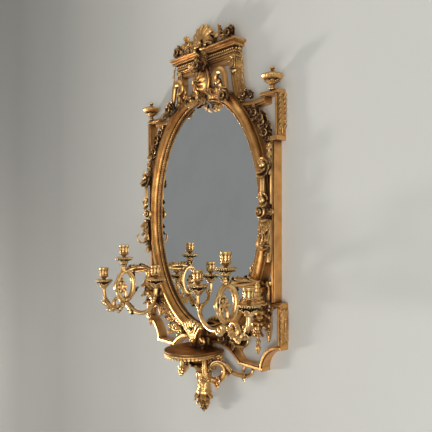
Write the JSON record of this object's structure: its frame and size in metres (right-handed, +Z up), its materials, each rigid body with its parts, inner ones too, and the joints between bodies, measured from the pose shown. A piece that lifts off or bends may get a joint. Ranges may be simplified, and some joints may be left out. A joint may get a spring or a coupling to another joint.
{
  "type": "girandole mirror",
  "caption": "Oval wall mirror in a carved gilt surround with broken cornice, shell crest, urn finials, bracket shelf and swivelling three-light candle branches.",
  "frame": {"origin": "centre of the oval glass, on the wall face", "axes": "+X to the right seen from the room, +Y into the wall, +Z up"},
  "size_m": [0.902, 0.242, 1.3911],
  "materials": {
    "gilt_wood": "water-gilt leaf over reddish bole, rubbed bright on the high points",
    "gilt_metal": "gilded, satin",
    "looking_glass": "silvered plate with a bevelled rim",
    "pine_back": "bare pine, toned",
    "brass_screws": "brushed",
    "brass_plates": "brushed"
  },
  "bodies": {
    "frame": {"oval_frame": "gilt_wood", "sight_bead": "gilt_wood", "top_rail_right": "gilt_wood", "top_rail_left": "gilt_wood", "upper_stile_right": "gilt_wood", "upper_stile_left": "gilt_wood", "side_stile_right": "gilt_wood", "side_stile_left": "gilt_wood", "ear_stile_right": "gilt_wood", "ear_stile_left": "gilt_wood", "base_rail_right": "gilt_wood", "base_rail_left": "gilt_wood", "corner_finial_right": "gilt_wood", "corner_finial_left": "gilt_wood", "cornice_right": "gilt_wood", "cornice_left": "gilt_wood", "architrave": "gilt_wood", "console_right": "gilt_wood", "console_left": "gilt_wood", "crest": "gilt_wood", "cartouche": "gilt_wood", "cornucopia_right": "gilt_wood", "cornucopia_left": "gilt_wood", "floral_festoon_right": "gilt_wood", "floral_festoon_left": "gilt_wood", "stile_trophy_right": "gilt_wood", "stile_trophy_left": "gilt_wood", "stile_drapery_right": "gilt_wood", "stile_drapery_left": "gilt_wood", "side_rosette_right": "gilt_wood", "side_rosette_left": "gilt_wood", "shelf": "gilt_wood", "shelf_bracket": "gilt_wood", "pendant": "gilt_wood", "horn_right": "gilt_wood", "horn_left": "gilt_wood", "centre_clasp": "gilt_wood", "branch_bracket_right": "gilt_wood", "branch_bracket_left": "gilt_wood", "lower_scroll_right": "gilt_wood", "lower_scroll_left": "gilt_wood", "mirror_plate": "looking_glass", "backing_board": "pine_back", "glazing_blocks": "pine_back", "backing_screws": "brass_screws", "hanging_plates": "brass_plates"},
    "branch_right": {"branch_scroll_right": "gilt_metal", "outer_arm_right": "gilt_metal", "inner_arm_right": "gilt_metal", "drip_pans_right": "gilt_metal"},
    "nozzle_outer_right": {"nozzle_outer_right": "gilt_metal"},
    "nozzle_centre_right": {"nozzle_centre_right": "gilt_metal"},
    "nozzle_inner_right": {"nozzle_inner_right": "gilt_metal"},
    "branch_left": {"branch_scroll_left": "gilt_metal", "outer_arm_left": "gilt_metal", "inner_arm_left": "gilt_metal", "drip_pans_left": "gilt_metal"},
    "nozzle_outer_left": {"nozzle_outer_left": "gilt_metal"},
    "nozzle_centre_left": {"nozzle_centre_left": "gilt_metal"},
    "nozzle_inner_left": {"nozzle_inner_left": "gilt_metal"}
  },
  "joints": [
    {"name": "right_branch_swivel", "type": "hinge", "parent": "frame", "child": "branch_right", "pos_m": [0.305, -0.07, -0.24], "axis": [0, 0, 1], "range_deg": [-15, 15]},
    {"name": "nozzle_outer_right_lift", "type": "slide", "parent": "branch_right", "child": "nozzle_outer_right", "axis": [0, 0, 1], "range_m": [0, 0.035]},
    {"name": "nozzle_centre_right_lift", "type": "slide", "parent": "branch_right", "child": "nozzle_centre_right", "axis": [0, 0, 1], "range_m": [0, 0.035]},
    {"name": "nozzle_inner_right_lift", "type": "slide", "parent": "branch_right", "child": "nozzle_inner_right", "axis": [0, 0, 1], "range_m": [0, 0.035]},
    {"name": "left_branch_swivel", "type": "hinge", "parent": "frame", "child": "branch_left", "pos_m": [-0.305, -0.07, -0.24], "axis": [0, 0, 1], "range_deg": [-15, 15]},
    {"name": "nozzle_outer_left_lift", "type": "slide", "parent": "branch_left", "child": "nozzle_outer_left", "axis": [0, 0, 1], "range_m": [0, 0.035]},
    {"name": "nozzle_centre_left_lift", "type": "slide", "parent": "branch_left", "child": "nozzle_centre_left", "axis": [0, 0, 1], "range_m": [0, 0.035]},
    {"name": "nozzle_inner_left_lift", "type": "slide", "parent": "branch_left", "child": "nozzle_inner_left", "axis": [0, 0, 1], "range_m": [0, 0.035]}
  ]
}
